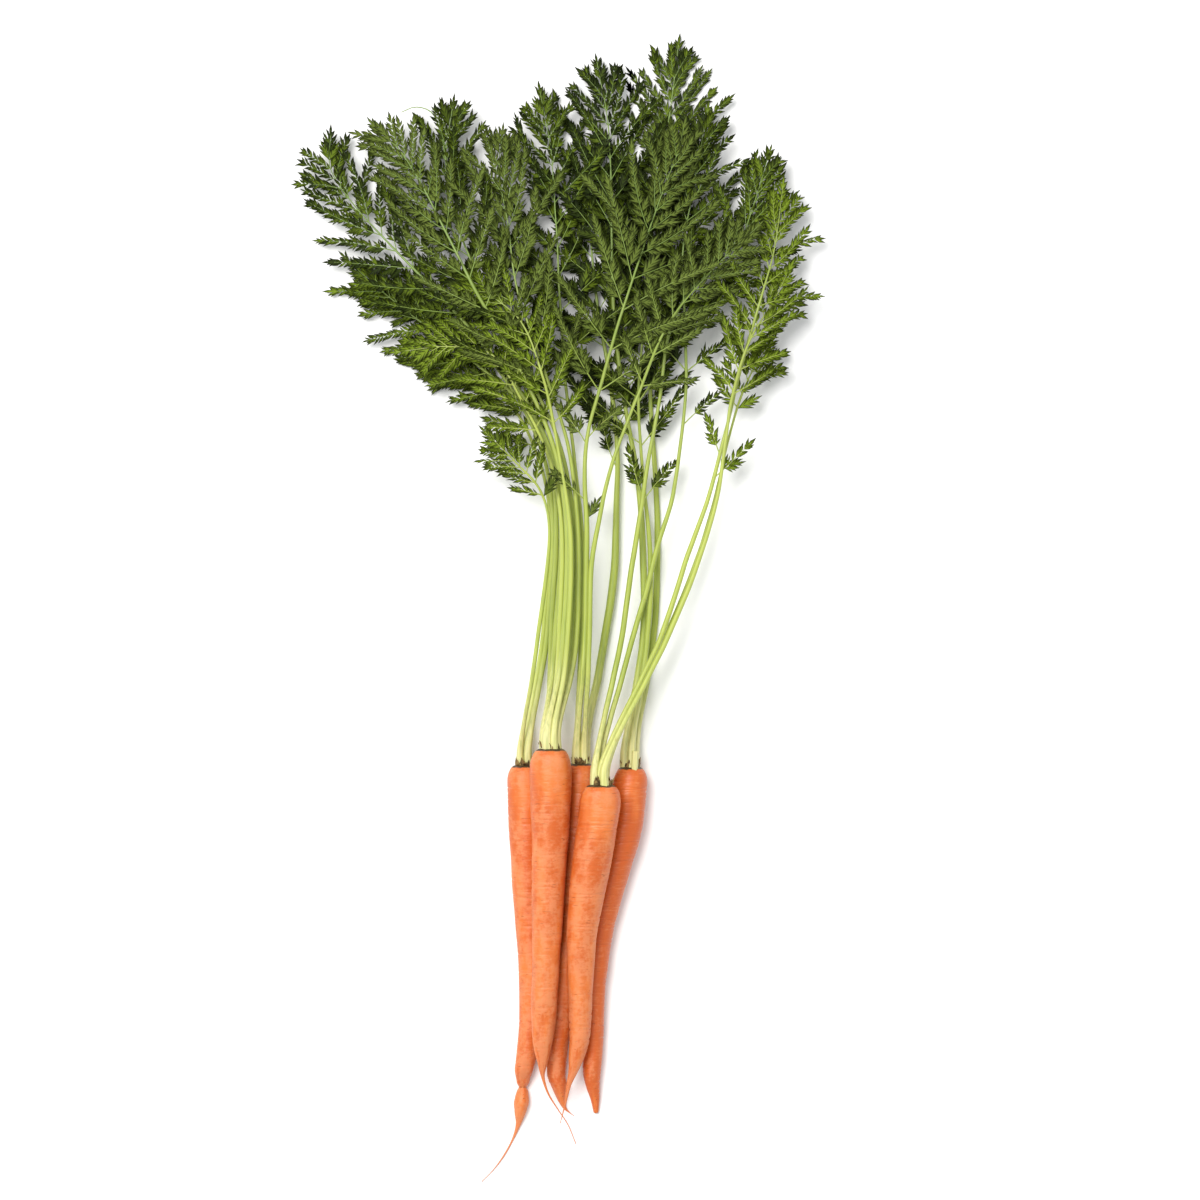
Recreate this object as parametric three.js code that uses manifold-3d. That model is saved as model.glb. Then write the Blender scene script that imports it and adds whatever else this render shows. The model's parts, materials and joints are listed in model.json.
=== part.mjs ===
// A bunch of five carrots with their leaves, lying flat.
// Millimetres, +Z up. The roots point along -Y and the leaves along +Y.
// The origin is on the surface under the middle of the bunch.
import * as THREE from 'three';
import { mergeVertices } from 'three/addons/utils/BufferGeometryUtils.js';
import Module from 'manifold-3d';

const wasm = await Module();
wasm.setup();

// Driving dimensions.
const ROOT_LENGTH = 190;
const ROOT_RADIUS = 11.5;
const ROOT_GAP = 0.4;
const ROOT_SIDES = 12;
const ROOT_RINGS = 20;
const SHOULDER_LENGTH = 8;
const SHOULDER_SHARES = [0, 0.12, 0.4];
const BODY_START = 0.6;
const CROWN_SHARE = 0.5;
const TAIL_START = 0.92;
const FRONT_SUPPORT = 0.2;
const REAR_SUPPORT = 0.62;

const PETIOLE_RADIUS = 1.5;
const PETIOLE_SIDES = 6;
const LEAF_GAP = 0.5;
const SURFACE_GAP = 0.4;
const LANE_SHARE = 0.8;
const SLOT_GAP = 0.6;
const CROWN_GAP = 0.6;
const STUB_LENGTH = 9;
const LEAF_REACH = 323;
const LEAF_SPREAD = 140;
const NECK_Y = -38;
const WAIST_Y = -17;
const NECK_SHARE = 0.7;
const STEP_LENGTH = 26;
const MERGE_DISTANCE = 1e-4;

// A blade's length, its teeth and their spacing are counted in half widths of that blade.
const BLADE_THICKNESS = 1.2;
const BLADE_HALVES = 7.5;
const BLADE_MOST_SHARE = 0.52;
const TOOTH_SPACING = 0.9;
const FEWEST_TEETH = 4;
const NOTCH_SHARE = 0.15;
const TOOTH_LEAN = 0.8;
const BASE_WIDTH_SHARE = 0.45;
const BASE_WIDENING = 2.2;
const TIP_WIDTH_SHARE = 0.12;
const TIP_NARROWING = 2.6;

// Petioles lie above each other in levels and beside each other in lanes. Lanes are closer than a
// petiole is wide, so petioles in neighbouring lanes are in different levels.
const LANE_PITCH = 2 * PETIOLE_RADIUS * LANE_SHARE;
const LEVEL_PITCH = 2 * PETIOLE_RADIUS + LEAF_GAP;
const SLOT_PITCH = 2 * PETIOLE_RADIUS + SLOT_GAP;

// Each station of a root is [share of ROOT_LENGTH from the crown, sideways place and radius
// as shares of ROOT_RADIUS].
const ROOTS = {
  root_left: {
    crownY: -88,
    stations: [
      [0, -1.3, 0.9], [0.16, -1.2, 0.87], [0.41, -1.1, 0.75], [0.66, -0.9, 0.63], [0.84, -1.15, 0.53],
      [0.91, -1.35, 0.46], [0.96, -1.4, 0.26], [1, -1.45, 0.35], [1.03, -1.5, 0.28], [1.08, -1.65, 0.1],
      [1.18, -2.5, 0.06], [1.24, -3.4, 0.05],
    ],
  },
  root_middle: {
    crownY: -87,
    stations: [
      [0, 1.43, 0.88], [0.25, 1.25, 0.83], [0.4, 1.05, 0.75], [0.65, 0.65, 0.63], [0.84, 0.35, 0.51],
      [0.92, 0.25, 0.46], [0.96, 0.4, 0.39], [1.02, 0.6, 0.12], [1.05, 1.1, 0.05],
    ],
  },
  root_right: {
    crownY: -89,
    stations: [
      [0, 3.9, 0.86], [0.15, 3.7, 0.86], [0.33, 3, 0.78], [0.5, 2.35, 0.68], [0.68, 2.05, 0.59],
      [0.86, 2.05, 0.48], [0.9, 2, 0.46], [0.95, 2.05, 0.34], [0.99, 2.15, 0.22], [1.03, 2.2, 0.12],
    ],
  },
  root_front_left: {
    crownY: -78,
    restsOn: ['root_left', 'root_middle'],
    droop: 0.95,
    stations: [
      [0, 0, 1], [0.12, 0, 1], [0.3, -0.05, 0.88], [0.56, -0.2, 0.72], [0.8, -0.35, 0.6],
      [0.885, -0.4, 0.43], [0.93, -0.4, 0.26], [0.97, -0.4, 0.1], [1.03, -0.1, 0.06], [1.12, 0.8, 0.05],
      [1.18, 1.2, 0.05],
    ],
  },
  root_front_right: {
    crownY: -98,
    restsOn: ['root_middle', 'root_right'],
    droop: 0.35,
    stations: [
      [0, 2.45, 0.98], [0.06, 2.4, 1], [0.15, 2.2, 1], [0.33, 1.75, 0.87], [0.46, 1.5, 0.73],
      [0.6, 1.45, 0.62], [0.75, 1.4, 0.5], [0.81, 1.25, 0.38], [0.85, 1.1, 0.25], [0.9, 0.85, 0.11],
      [0.95, 0.7, 0.06], [1.01, 0.45, 0.05],
    ],
  },
};

// The leaf places below are for a bunch that reaches this far from its middle.
const DRAWN_REACH = 323;
const DRAWN_SPREAD = 140;

// Each leaf: its root, its slot in the crown [across, up], its lane and level in the bundle of
// petioles, its blade's half width, and the places [x, y] it passes from the bundle to its tip.
const LEAVES = [
  { name: 'leaf_left_1', root: 'root_left', slot: [-0.6, 0.5], lane: -3, level: 7, half: 9,
    route: [[-1, 45], [-8, 62], [-22, 75], [-39, 94]] },
  { name: 'leaf_left_2', root: 'root_left', slot: [0, -0.6], lane: -2, level: 0, half: 13,
    route: [[-1, 55], [-8, 85], [-26, 113], [-58, 126], [-85, 134]] },
  { name: 'leaf_left_3', root: 'root_left', slot: [0.6, 0.4], lane: -1, level: 1, half: 19,
    route: [[1, 50], [-4, 85], [-20, 118], [-46, 150], [-72, 170], [-98, 177], [-125, 179]] },
  { name: 'leaf_front_left_1', root: 'root_front_left', slot: [-0.5, -0.9], lane: 0, level: 2, half: 17,
    route: [[3, 45], [0, 80], [-14, 112], [-45, 140], [-78, 162], [-100, 178], [-118, 192]] },
  { name: 'leaf_front_left_2', root: 'root_front_left', slot: [-1, 0], lane: 1, level: 3, half: 26,
    route: [[6, 45], [2, 82], [-16, 120], [-48, 160], [-88, 201], [-118, 226], [-131, 246], [-130, 269]] },
  { name: 'leaf_front_left_3', root: 'root_front_left', slot: [0, 0], lane: 2, level: 5, half: 13,
    route: [[6, 45], [0, 82], [-17, 118], [-34, 143], [-58, 147], [-87, 144]] },
  { name: 'leaf_front_left_4', root: 'root_front_left', slot: [-0.5, 0.9], lane: 3, level: 6, half: 20,
    route: [[9, 45], [2, 90], [-22, 143], [-42, 178], [-59, 211], [-75, 242], [-90, 262], [-110, 266]] },
  { name: 'leaf_front_left_5', root: 'root_front_left', slot: [0.5, 0.9], lane: 4, level: 7, half: 16,
    route: [[11, 40], [5, 85], [-4, 128], [-17, 161], [-34, 176], [-54, 191]] },
  { name: 'leaf_front_left_6', root: 'root_front_left', slot: [0.5, -0.9], lane: 5, level: 4, half: 18,
    route: [[13, 45], [4, 95], [-22, 148], [-49, 205], [-57, 228], [-59, 255], [-57, 287]] },
  { name: 'leaf_front_left_7', root: 'root_front_left', slot: [1, 0], lane: 6, level: 5, half: 17,
    route: [[15, 45], [10, 90], [-4, 135], [-19, 180], [-24, 214], [-30, 248], [-34, 270]] },
  { name: 'leaf_middle_1', root: 'root_middle', slot: [-0.6, -0.5], lane: 7, level: 3, half: 20,
    route: [[17, 45], [13, 85], [8, 130], [5, 173], [2, 213], [-4, 257], [-11, 293]] },
  { name: 'leaf_middle_2', root: 'root_middle', slot: [0.6, -0.5], lane: 12.5, level: 1, half: 21,
    route: [[35, 15], [37, 60], [37, 95], [33, 130], [27, 165], [23, 200], [22, 229], [24, 262]] },
  { name: 'leaf_middle_3', root: 'root_middle', slot: [-0.6, 0.5], lane: 8, level: 7, half: 22,
    route: [[20, 45], [19, 75], [21, 99], [29, 128], [37, 156], [47, 187], [62, 232], [71, 255], [75, 271]] },
  { name: 'leaf_middle_4', root: 'root_middle', slot: [0.6, 0.5], lane: 9, level: 8, half: 16,
    route: [[23, 25], [28, 55], [35, 83], [49, 120], [66, 159], [89, 188], [117, 215]] },
  { name: 'leaf_front_right_1', root: 'root_front_right', slot: [-1, 0.3], lane: 16.5, level: 5, half: 17,
    route: [[45, 20], [50, 51], [55, 85], [61, 118], [67, 157], [79, 179], [103, 199], [112, 221],
      [123, 257]] },
  { name: 'leaf_front_right_2', root: 'root_front_right', slot: [-0.4, -0.8], lane: 19, level: 4, half: 17,
    route: [[54, 12], [61, 39], [68, 61], [73, 95], [76, 125], [75, 160], [74, 200], [78, 231], [84, 285]] },
  { name: 'leaf_front_right_3', root: 'root_front_right', slot: [0, 0.3], lane: 25.5, level: 6, half: 14,
    route: [[76, 28], [88, 61], [97, 95], [105, 129], [119, 175], [127, 205], [132, 237]] },
  { name: 'leaf_front_right_4', root: 'root_front_right', slot: [0.5, 1.3], lane: 27, level: 7, half: 13,
    route: [[83, 28], [93, 61], [98, 95], [101, 117], [111, 149], [125, 171], [139, 191]] },
  { name: 'leaf_front_right_5', root: 'root_front_right', slot: [0.9, -0.5], lane: 26.5, level: 4, half: 11,
    route: [[82, 28], [92, 61], [99, 92], [106, 117], [117, 138], [130, 152]] },
  { name: 'leaf_right_1', root: 'root_right', slot: [-0.8, 0], lane: 21.5, level: 2, half: 20,
    route: [[52, 28], [49, 72], [41, 117], [35, 173], [34, 230], [32, 274], [26, 308]] },
  { name: 'leaf_right_2', root: 'root_right', slot: [0.1, 0.9], lane: 22.5, level: 3, half: 20,
    route: [[56, 28], [52, 72], [49, 117], [52, 157], [55, 190], [58, 240]] },
  { name: 'leaf_right_3', root: 'root_right', slot: [0.6, -0.5], lane: 24, level: 0, half: 21,
    route: [[60, 28], [59, 72], [56, 117], [57, 173], [61, 229], [67, 280], [73, 323]] },
];

const rootSkin = new THREE.MeshStandardMaterial({ color: 0xef8542, roughness: 0.55, metalness: 0 });
const leafGreen = new THREE.MeshStandardMaterial({ color: 0x6f8838, roughness: 0.6, metalness: 0 });

// Roots.

function sampleRoot(root) {
  const curve = new THREE.CatmullRomCurve3(
    root.stations.map(([share, side, radius]) => new THREE.Vector3(share, side, radius)),
    false,
    'centripetal',
  );
  return curve.getPoints(ROOT_RINGS).map((point) => ({
    share: point.x,
    x: point.y * ROOT_RADIUS,
    y: root.crownY - point.x * ROOT_LENGTH,
    radius: point.z * ROOT_RADIUS,
  }));
}

// The place and radius of a sampled root where it crosses a given y, or null past its ends.
function crossing(samples, y) {
  const index = samples.findIndex((sample, i) => i > 0 && sample.y <= y);
  if (index < 1 || samples[0].y < y) return null;
  const before = samples[index - 1];
  const after = samples[index];
  const share = (before.y - y) / (before.y - after.y);
  return {
    x: THREE.MathUtils.lerp(before.x, after.x, share),
    radius: THREE.MathUtils.lerp(before.radius, after.radius, share),
  };
}

// The lowest height of an upper root's axis at one sample, clear of every root that it lies on.
function clearHeight(sample, lowerRoots) {
  const heights = lowerRoots.map((samples) => {
    const lower = crossing(samples, sample.y);
    if (!lower) return sample.radius;
    const reach = lower.radius + sample.radius + ROOT_GAP;
    const side = Math.abs(sample.x - lower.x);
    return side < reach ? lower.radius + Math.sqrt(reach * reach - side * side) : sample.radius;
  });
  return Math.max(...heights);
}

function nearest(samples, share) {
  return samples.reduce((best, sample) => (
    Math.abs(sample.share - share) < Math.abs(best.share - share) ? sample : best
  ));
}

// A lower root lies on the surface all along. An upper root's axis is a straight line that
// touches what it lies on near its shoulder and near its tip, and its tail hangs down.
function setHeights(root, samples, lowerRoots) {
  if (lowerRoots.length === 0) {
    samples.forEach((sample) => { sample.z = sample.radius; });
    return;
  }
  const front = nearest(samples, FRONT_SUPPORT);
  const rear = nearest(samples, REAR_SUPPORT);
  const frontZ = clearHeight(front, lowerRoots);
  const slope = (clearHeight(rear, lowerRoots) - frontZ) / (rear.share - front.share);
  const line = (share) => frontZ + slope * (share - front.share);
  const body = samples.filter((sample) => sample.share <= TAIL_START);
  const lift = Math.max(...body.map((sample) => clearHeight(sample, lowerRoots) - line(sample.share)));
  const end = samples[samples.length - 1].share;
  samples.forEach((sample) => {
    const fall = root.droop * THREE.MathUtils.smoothstep(sample.share, TAIL_START, end);
    sample.z = Math.max((line(sample.share) + lift) * (1 - fall), sample.radius);
  });
}

function shoulderShare(distance) {
  const share = Math.min(distance / SHOULDER_LENGTH, 1);
  return CROWN_SHARE + (1 - CROWN_SHARE) * Math.sqrt(1 - (1 - share) ** 2);
}

// A turned profile whose rings are then moved onto the root's own axis.
function rootGeometry(samples) {
  const crown = samples[0];
  const shoulder = SHOULDER_SHARES.map((share) => ({
    distance: share * SHOULDER_LENGTH,
    radius: crown.radius * shoulderShare(share * SHOULDER_LENGTH),
    x: crown.x,
    z: crown.z,
  }));
  const body = samples
    .map((sample) => ({ ...sample, distance: crown.y - sample.y }))
    .filter((sample) => sample.distance > BODY_START * SHOULDER_LENGTH)
    .map((sample) => ({ ...sample, radius: sample.radius * shoulderShare(sample.distance) }));
  const rings = [...shoulder, ...body];
  const last = rings[rings.length - 1];
  const profile = [
    new THREE.Vector2(0, 0),
    ...rings.map((ring) => new THREE.Vector2(ring.radius, -ring.distance)),
    new THREE.Vector2(0, -last.distance),
  ];
  const centres = [rings[0], ...rings, last];
  const geometry = new THREE.LatheGeometry(profile.reverse(), ROOT_SIDES);
  centres.reverse();
  const places = geometry.attributes.position;
  for (let i = 0; i < places.count; i += 1) {
    const centre = centres[i % centres.length];
    places.setX(i, places.getX(i) + centre.x);
    places.setY(i, places.getY(i) + crown.y);
    places.setZ(i, places.getZ(i) + centre.z);
  }
  return geometry;
}

// Leaves.

function asSolid(geometry) {
  const bare = geometry.index ? geometry.toNonIndexed() : geometry.clone();
  bare.deleteAttribute('normal');
  bare.deleteAttribute('uv');
  const merged = mergeVertices(bare, MERGE_DISTANCE);
  return new wasm.Manifold(new wasm.Mesh({
    numProp: 3,
    vertProperties: new Float32Array(merged.attributes.position.array),
    triVerts: new Uint32Array(merged.index.array),
  }));
}

function asGeometry(solid) {
  const mesh = solid.getMesh();
  const geometry = new THREE.BufferGeometry();
  geometry.setAttribute('position', new THREE.BufferAttribute(new Float32Array(mesh.vertProperties), 3));
  geometry.setIndex(new THREE.BufferAttribute(new Uint32Array(mesh.triVerts), 1));
  geometry.computeVertexNormals();
  return geometry;
}

function levelHeight(leaf) {
  return SURFACE_GAP + PETIOLE_RADIUS + leaf.level * LEVEL_PITCH;
}

// The midline of a leaf from just above its crown, through its lane of the bundle, to its tip.
// Its first stretch stands straight out of the crown.
function leafCurve(leaf, crown) {
  const height = levelHeight(leaf);
  const start = new THREE.Vector3(
    crown.x + leaf.slot[0] * SLOT_PITCH,
    crown.y + CROWN_GAP,
    crown.z + leaf.slot[1] * SLOT_PITCH,
  );
  const laneX = leaf.lane * LANE_PITCH;
  const neckX = THREE.MathUtils.lerp(start.x, laneX, NECK_SHARE);
  return new THREE.CatmullRomCurve3([
    start,
    new THREE.Vector3(start.x, start.y + STUB_LENGTH, start.z),
    new THREE.Vector3(neckX, NECK_Y, height),
    new THREE.Vector3(laneX, WAIST_Y, height),
    ...leaf.route.map(([x, y]) => new THREE.Vector3(
      (x * LEAF_SPREAD) / DRAWN_SPREAD,
      (y * LEAF_REACH) / DRAWN_REACH,
      height,
    )),
  ], false, 'centripetal');
}

function petioleGeometry(curve) {
  const section = new THREE.Shape();
  for (let i = 0; i < PETIOLE_SIDES; i += 1) {
    const angle = (2 * Math.PI * i) / PETIOLE_SIDES;
    const x = PETIOLE_RADIUS * Math.cos(angle);
    const y = PETIOLE_RADIUS * Math.sin(angle);
    if (i === 0) section.moveTo(x, y);
    else section.lineTo(x, y);
  }
  section.closePath();
  return new THREE.ExtrudeGeometry(section, {
    steps: Math.round(curve.getLength() / STEP_LENGTH),
    extrudePath: curve,
  });
}

// How wide a blade is along its length, as a share of its half width.
function bladeShare(t) {
  const base = Math.min(1, BASE_WIDTH_SHARE + BASE_WIDENING * t);
  const tip = Math.min(1, TIP_WIDTH_SHARE + TIP_NARROWING * (1 - t));
  return base * tip;
}

// One side of a blade: a toothed edge whose teeth lean towards the tip.
function bladeEdge(curve, start, side, half) {
  const length = curve.getLength() * (1 - start);
  const teeth = Math.max(FEWEST_TEETH, Math.round(length / (TOOTH_SPACING * half)));
  const edge = [];
  for (let i = 0; i < teeth; i += 1) {
    const t = i / teeth;
    const u = start + (1 - start) * t;
    const place = curve.getPointAt(u);
    const ahead = curve.getTangentAt(u);
    const across = new THREE.Vector2(-ahead.y * side, ahead.x * side);
    const width = half * bladeShare(t + 0.5 / teeth);
    const notch = PETIOLE_RADIUS + width * NOTCH_SHARE;
    edge.push(new THREE.Vector2(place.x + across.x * notch, place.y + across.y * notch));
    const lean = Math.min(TOOTH_LEAN * width, length * (1 - t));
    edge.push(new THREE.Vector2(
      place.x + across.x * width + ahead.x * lean,
      place.y + across.y * width + ahead.y * lean,
    ));
  }
  return edge;
}

function bladeGeometry(leaf, curve) {
  const length = curve.getLength();
  const bladeLength = Math.min(BLADE_MOST_SHARE * length, BLADE_HALVES * leaf.half);
  const start = 1 - bladeLength / length;
  const tip = curve.getPointAt(1);
  const left = bladeEdge(curve, start, 1, leaf.half);
  const right = bladeEdge(curve, start, -1, leaf.half);
  const outline = [...right, new THREE.Vector2(tip.x, tip.y), ...left.reverse()];
  const geometry = new THREE.ExtrudeGeometry(new THREE.Shape(outline), {
    depth: BLADE_THICKNESS,
    bevelEnabled: false,
  });
  geometry.translate(0, 0, levelHeight(leaf) - BLADE_THICKNESS / 2);
  return geometry;
}

function leafGeometry(leaf, crown) {
  const curve = leafCurve(leaf, crown);
  const petiole = asSolid(petioleGeometry(curve));
  const blade = asSolid(bladeGeometry(leaf, curve));
  return asGeometry(petiole.add(blade));
}

// The whole bunch.

const bunch = new THREE.Group();
const sampled = {};
for (const [name, root] of Object.entries(ROOTS)) {
  sampled[name] = sampleRoot(root);
}
for (const [name, root] of Object.entries(ROOTS)) {
  setHeights(root, sampled[name], (root.restsOn ?? []).map((lower) => sampled[lower]));
  const mesh = new THREE.Mesh(rootGeometry(sampled[name]), rootSkin);
  mesh.name = name;
  bunch.add(mesh);
}
for (const leaf of LEAVES) {
  const mesh = new THREE.Mesh(leafGeometry(leaf, sampled[leaf.root][0]), leafGreen);
  mesh.name = leaf.name;
  bunch.add(mesh);
}

export default bunch;
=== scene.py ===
"""A bunch of five carrots with their leaves, lying flat on a pale surface."""
import json
import math

import bpy
import numpy as np
from mathutils import Matrix, Vector

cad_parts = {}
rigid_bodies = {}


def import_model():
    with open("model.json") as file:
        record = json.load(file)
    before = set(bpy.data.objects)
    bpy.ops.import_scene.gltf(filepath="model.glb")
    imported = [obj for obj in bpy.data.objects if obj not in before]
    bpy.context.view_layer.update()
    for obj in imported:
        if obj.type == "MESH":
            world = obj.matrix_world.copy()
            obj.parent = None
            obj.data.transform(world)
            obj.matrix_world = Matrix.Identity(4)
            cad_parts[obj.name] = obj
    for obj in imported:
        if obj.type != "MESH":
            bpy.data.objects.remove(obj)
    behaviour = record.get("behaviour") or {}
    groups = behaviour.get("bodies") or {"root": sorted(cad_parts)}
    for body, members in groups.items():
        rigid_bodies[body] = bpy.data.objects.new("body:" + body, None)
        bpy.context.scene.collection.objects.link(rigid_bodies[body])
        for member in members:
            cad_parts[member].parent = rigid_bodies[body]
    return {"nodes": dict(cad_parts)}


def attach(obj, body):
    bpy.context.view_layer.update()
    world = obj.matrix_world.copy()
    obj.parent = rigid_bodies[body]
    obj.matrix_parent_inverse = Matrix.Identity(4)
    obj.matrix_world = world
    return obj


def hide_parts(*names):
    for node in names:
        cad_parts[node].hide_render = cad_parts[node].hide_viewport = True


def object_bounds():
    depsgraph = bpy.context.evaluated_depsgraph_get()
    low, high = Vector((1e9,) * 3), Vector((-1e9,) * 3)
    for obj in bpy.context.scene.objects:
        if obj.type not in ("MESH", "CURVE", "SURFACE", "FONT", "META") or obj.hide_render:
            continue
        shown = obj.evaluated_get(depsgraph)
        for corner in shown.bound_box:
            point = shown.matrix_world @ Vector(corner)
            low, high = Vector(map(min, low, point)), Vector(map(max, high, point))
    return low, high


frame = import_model()
CAD_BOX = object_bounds()

bl_info = {
    "name": "Carrot Bunch",
    "version": (1, 0, 0),
    "blender": (4, 5, 0),
    "location": "3D View > Sidebar > Carrots",
    "description": "Grows the skins, crowns, stalks and feathery leaves of a bunch of carrots",
    "category": "Add Mesh",
}

MM = 0.001
FLOOR_GAP = 0.3 * MM
BODY = "root"
ROOT_NAMES = ("root_left", "root_middle", "root_right", "root_front_left", "root_front_right")

# The bundle of stalks, as the model of the bunch has it, in millimetres.
STALK_RADIUS = 1.5
LANE_PITCH = 2.4
LEVEL_PITCH = 3.5
SLOT_PITCH = 3.6
LOWEST_LEVEL = 1.9
STUB_LENGTH = 9.0
NECK_Y = -38.0
WAIST_Y = -17.0
NECK_SHARE = 0.7

# The leaves of each root. A leaf has its slot in the crown [across, up], its lane and level in the
# bundle, the half width and length of its blade, its tone from dark (-1) to bright (1), and the places
# it passes from the bundle to its tip. A blade with a lower taper keeps its width for longer. Some
# leaves show their underside, and some have sprigs low on the stalk [how far up, side, length], a bare
# wisp, or the stub of a cut stalk beside them. Places and lengths are in millimetres.
# The tone is partly each leaf's own colour, bright for young leaves, and partly painted shade: many of the
# lower leaves are set darker.
LEAVES = {
    "root_left": (
        dict(slot=(-0.6, 0.5), lane=-3, level=7, half=12, blade=52, tone=0.4, girth=0.8,
             route=[(-1, 45), (-6, 66), (-20, 82), (-37, 99)]),
        dict(slot=(0, -0.6), lane=-2, level=0, half=14, blade=95, tone=0.9, girth=0.9,
             route=[(-1, 55), (-8, 87), (-25, 117), (-57, 133), (-85, 140)]),
        dict(slot=(0.6, 0.4), lane=-1, level=1, half=15, blade=125, tone=0.4,
             route=[(1, 50), (-4, 85), (-20, 120), (-46, 153), (-72, 172), (-98, 179), (-122, 179)]),
    ),
    "root_front_left": (
        dict(slot=(-0.5, -0.9), lane=0, level=2, half=22, blade=135, tone=0.2,
             route=[(3, 45), (0, 80), (-14, 112), (-45, 140), (-78, 165), (-100, 183), (-116, 198)]),
        dict(slot=(-1, 0), lane=1, level=3, half=30, blade=150, tone=-0.4, taper=0.8, girth=1.1,
             route=[(6, 45), (2, 82), (-16, 120), (-48, 160), (-86, 200), (-110, 226), (-124, 248),
                    (-124, 266)]),
        dict(slot=(0, 0), lane=2, level=5, half=20, blade=105, tone=1.2,
             route=[(6, 45), (0, 82), (-17, 118), (-34, 143), (-58, 147), (-87, 144)]),
        dict(slot=(-0.5, 0.9), lane=3, level=6, half=30, blade=150, tone=0.2, under=True, girth=1.15,
             route=[(9, 45), (2, 90), (-22, 143), (-42, 178), (-59, 211), (-75, 242), (-90, 262),
                    (-108, 266)]),
        dict(slot=(0.5, 0.9), lane=4, level=7, half=22, blade=110, tone=0.8,
             route=[(11, 40), (5, 85), (-4, 128), (-17, 161), (-34, 176), (-54, 191)]),
        dict(slot=(0.5, -0.9), lane=5, level=4, half=34, blade=155, tone=-0.3, taper=0.8,
             wisp=[(-58, 245), (-61, 263), (-67, 279), (-76, 282), (-84, 279)],
             route=[(13, 45), (4, 95), (-22, 148), (-49, 205), (-57, 228), (-59, 255), (-55, 284)]),
        dict(slot=(1, 0), lane=6, level=5, half=36, blade=150, tone=0.0, under=True, taper=0.8,
             route=[(15, 45), (10, 90), (-4, 135), (-19, 180), (-24, 214), (-29, 245), (-27, 268)]),
    ),
    "root_middle": (
        dict(slot=(-0.6, -0.5), lane=7, level=3, half=36, blade=175, tone=-0.3, taper=0.8,
             route=[(17, 45), (13, 85), (8, 130), (5, 173), (3, 213), (0, 257), (-6, 291)]),
        dict(slot=(0.6, -0.5), lane=12.5, level=1, half=38, blade=165, tone=-0.6, taper=0.8, girth=1.5,
             sprigs=[(78, 1, 34), (98, 1, 36), (101, -1, 34)],
             route=[(35, 15), (37, 60), (37, 95), (33, 130), (27, 165), (23, 200), (22, 229), (24, 262)]),
        dict(slot=(-0.6, 0.5), lane=8, level=7, half=36, blade=160, tone=0.0, under=True, girth=1.1,
             sprigs=[(50, 1, 15), (60, -1, 24), (92, -1, 26), (95, 1, 24)],
             route=[(20, 45), (19, 75), (21, 99), (29, 128), (37, 156), (47, 187), (62, 232), (71, 255),
                    (75, 271)]),
        dict(slot=(0.6, 0.5), lane=9, level=8, half=22, blade=115, tone=0.3, under=True, girth=0.95,
             route=[(23, 25), (28, 55), (35, 83), (49, 120), (66, 159), (89, 188), (117, 215)]),
    ),
    "root_front_right": (
        dict(slot=(-1, 0.3), lane=16.5, level=5, half=27, blade=130, tone=0.0, taper=0.8, girth=1.05,
             sprigs=[(62, 1, 28), (60, -1, 28)],
             route=[(45, 20), (50, 51), (55, 85), (61, 118), (67, 157), (79, 179), (103, 199), (112, 221),
                    (123, 257)]),
        dict(slot=(-0.4, -0.8), lane=19, level=4, half=31, blade=150, tone=-0.3, taper=0.8,
             sprigs=[(103, -1, 25)],
             route=[(54, 12), (61, 39), (68, 61), (73, 95), (76, 125), (75, 160), (74, 200), (79, 231),
                    (88, 280)]),
        dict(slot=(0, 0.3), lane=25.5, level=6, half=22, blade=100, tone=1.1,
             sprigs=[(86, 1, 22), (73, -1, 28)],
             route=[(76, 28), (88, 61), (97, 95), (105, 129), (118, 175), (126, 205), (130, 237)]),
        dict(slot=(0.5, 1.3), lane=27, level=7, half=18, blade=80, tone=1.2,
             route=[(83, 28), (93, 61), (98, 95), (101, 117), (111, 149), (124, 171), (134, 191)]),
        dict(slot=(0.9, -0.5), lane=26.5, level=4, half=13, blade=44, tone=0.9, girth=0.8,
             route=[(82, 28), (92, 61), (99, 92), (106, 117), (114, 135), (124, 150)]),
    ),
    "root_right": (
        dict(slot=(-0.8, 0), lane=21.5, level=2, half=38, blade=185, tone=-0.6, taper=0.8, girth=1.35,
             sprigs=[(100, 1, 36), (106, -1, 34)],
             route=[(52, 28), (49, 72), (41, 117), (35, 173), (34, 230), (32, 274), (26, 308)]),
        dict(slot=(0.1, 0.9), lane=22.5, level=3, half=36, blade=150, tone=-0.4,
             sprigs=[(108, 1, 32), (116, -1, 30)], stub=(0.5, 1.4),
             route=[(56, 28), (52, 72), (49, 117), (52, 157), (55, 190), (58, 240)]),
        dict(slot=(0.6, -0.5), lane=24, level=0, half=38, blade=180, tone=-0.1, taper=0.8, girth=1.2,
             route=[(60, 28), (59, 72), (56, 117), (57, 173), (61, 229), (67, 280), (72, 318)]),
    ),
}
LEAF_DEFAULTS = dict(girth=1.0, taper=0.9, under=False, sprigs=(), wisp=(), stub=())


def named_leaves():
    """Each leaf with its name and its root: leaf_left_1 is the first leaf of root_left."""
    for root, leaves in LEAVES.items():
        for number, leaf in enumerate(leaves, 1):
            yield f"{root.replace('root', 'leaf')}_{number}", root, {**LEAF_DEFAULTS, **leaf}


# Settings.

def color_setting(name, description, default):
    return bpy.props.FloatVectorProperty(
        name=name, description=description, subtype="COLOR", size=3, min=0, max=1, default=default)


def share_setting(name, description, default, low, high):
    return bpy.props.FloatProperty(
        name=name, description=description, subtype="FACTOR", min=low, max=high, default=default)


def distance_setting(name, description, default, low, high):
    return bpy.props.FloatProperty(
        name=name, description=description, subtype="DISTANCE", unit="LENGTH", min=low, max=high,
        default=default)


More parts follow.
